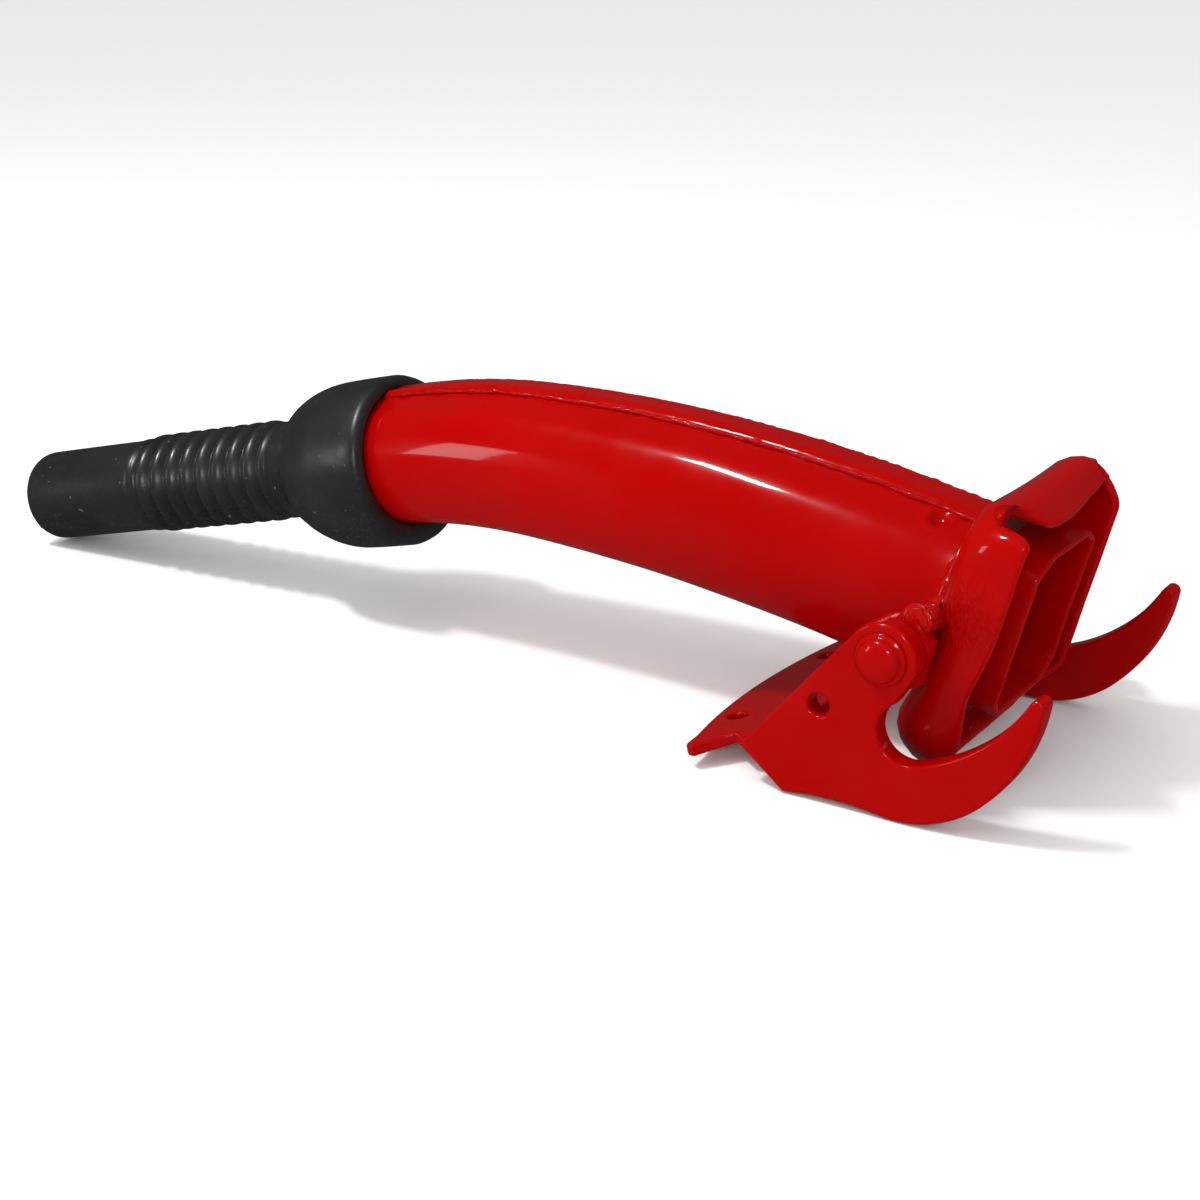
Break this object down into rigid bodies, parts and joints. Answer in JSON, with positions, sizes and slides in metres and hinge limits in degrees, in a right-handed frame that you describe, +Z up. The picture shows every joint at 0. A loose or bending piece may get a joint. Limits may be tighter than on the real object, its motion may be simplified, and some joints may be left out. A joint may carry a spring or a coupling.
{
  "type": "fuel can pouring spout",
  "caption": "Curved steel pouring spout for a fuel can, with a pressed collar, hooked cam lever and flexible ribbed rubber nozzle.",
  "frame": {"origin": "the middle of the lever's pivot axis, between the two rivets", "axes": "+X out of the mouth end, along the spout's length; +Y across, along the pivot axis; +Z up as the spout lies on a bench on its hooks and nozzle tip"},
  "size_m": [0.2767, 0.0776, 0.0596],
  "materials": {
    "red_paint": "gloss",
    "lever_paint": "gloss",
    "nozzle_rubber": "satin",
    "gasket_rubber": "matte"
  },
  "bodies": {
    "spout": {"spout_tube": "red_paint", "breather_channel": "red_paint", "collar_cup": "red_paint", "mouth_spigot": "red_paint", "mouth_gasket": "gasket_rubber", "pivot_lug_right": "red_paint", "pivot_lug_left": "red_paint", "rivet_right": "red_paint", "rivet_left": "red_paint", "nozzle_sleeve": "nozzle_rubber", "bellows_base": "nozzle_rubber"},
    "lever": {"cam_arm_right": "lever_paint", "cam_arm_left": "lever_paint", "thumb_plate": "lever_paint"},
    "nozzle_end": {"bellows_end": "nozzle_rubber", "nozzle_tip": "nozzle_rubber"}
  },
  "joints": [
    {"name": "lever_swing", "type": "hinge", "parent": "spout", "child": "lever", "pos_m": [0, 0, 0], "axis": [0, 1, 0], "range_deg": [-110, 20]},
    {"name": "nozzle_bend", "type": "hinge", "parent": "spout", "child": "nozzle_end", "pos_m": [-0.18672, 0, -0.00554], "axis": [0, 1, 0], "range_deg": [-20, 20], "stiffness_Nm_per_rad": 3}
  ]
}
